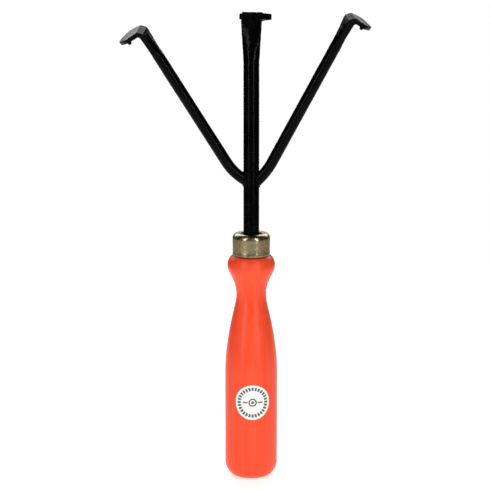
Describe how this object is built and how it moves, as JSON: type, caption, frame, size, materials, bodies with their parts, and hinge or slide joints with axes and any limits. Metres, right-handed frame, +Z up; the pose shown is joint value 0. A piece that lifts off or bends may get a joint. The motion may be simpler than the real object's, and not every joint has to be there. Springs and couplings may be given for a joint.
{
  "type": "hand cultivator",
  "caption": "Short garden hand cultivator: turned orange wooden handle, metal ferrule, and black forged tines that spread from the shank and end in bent, spade-shaped claws.",
  "frame": {"origin": "centre of the flat on the butt end of the handle", "axes": "+Z up the handle towards the claws, -Y the side of the handle with the round label, +Y the way the claws point, +X to the right"},
  "size_m": [0.1326, 0.039, 0.2556],
  "materials": {
    "orange_enamel": "satin orange enamel over wood",
    "plated_steel": "yellow zinc plate, faintly brushed",
    "black_enamel": "gloss black enamel on forged steel",
    "label_paper": "semi-gloss printed paper"
  },
  "bodies": {
    "root": {"handle": "orange_enamel", "ferrule": "plated_steel", "centre_tine": "black_enamel", "left_tine": "black_enamel", "right_tine": "black_enamel", "left_weld": "black_enamel", "right_weld": "black_enamel", "round_label": "label_paper"}
  },
  "joints": []
}
